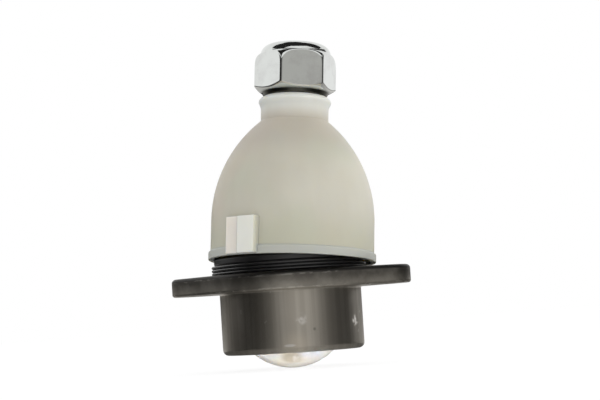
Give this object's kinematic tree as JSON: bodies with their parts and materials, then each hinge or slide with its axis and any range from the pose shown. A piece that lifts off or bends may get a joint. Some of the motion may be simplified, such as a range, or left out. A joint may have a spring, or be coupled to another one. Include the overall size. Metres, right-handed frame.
{
  "type": "suspension ball joint",
  "caption": "Flanged suspension ball joint: ball stud in a nylon-lined steel housing with rubber boot, transport cap and nylon-insert lock nut.",
  "frame": {"origin": "centre of the ball, on the axis of the housing's barrel", "axes": "+Z along the housing's axis towards the stud, +X along the two-bolt flange"},
  "size_m": [0.0728, 0.0516, 0.0975],
  "materials": {
    "housing_steel": "phosphated and turned, dark grey-brown",
    "bearing_nylon": "white nylon",
    "ring_steel": "plain",
    "stud_steel": "ground and rolled",
    "boot_rubber": "black, slightly shiny",
    "spring_wire": "black coated wire",
    "cap_plastic": "translucent off-white",
    "zinc_plate": "bright zinc",
    "insert_nylon": "white nylon"
  },
  "bodies": {
    "housing": {"housing": "housing_steel", "bearing_shell": "bearing_nylon", "bearing_ring": "bearing_nylon", "closing_ring": "ring_steel", "boot_lower_ring": "spring_wire"},
    "boot": {"boot": "boot_rubber"},
    "boot_collar": {"boot_upper_ring": "spring_wire"},
    "stud": {"ball_stud": "stud_steel"},
    "cap": {"transport_cap": "cap_plastic"},
    "nut": {"lock_nut": "zinc_plate", "nut_insert": "insert_nylon"}
  },
  "joints": [
    {"name": "swing_x", "type": "hinge", "parent": "housing", "child": "boot", "pos_m": [0, 0, 0], "axis": [1, 0, 0], "range_deg": [0, 9.8], "deforming": ["boot"]},
    {"name": "swing_y", "type": "hinge", "parent": "boot", "child": "boot_collar", "pos_m": [0, 0, 0], "axis": [0, 0.9963, -0.0854], "range_deg": [-7, 0], "deforming": ["boot"]},
    {"name": "stud_spin", "type": "hinge", "parent": "boot_collar", "child": "stud", "pos_m": [0, 0, 0], "axis": [0.061, 0.0853, 0.9945], "continuous": true},
    {"name": "cap_lift", "type": "slide", "parent": "stud", "child": "cap", "axis": [0.061, 0.0853, 0.9945], "range_m": [0, 0.064]},
    {"name": "nut_lift", "type": "slide", "parent": "cap", "child": "nut", "axis": [0.061, 0.0853, 0.9945], "range_m": [0, 0.018]}
  ]
}
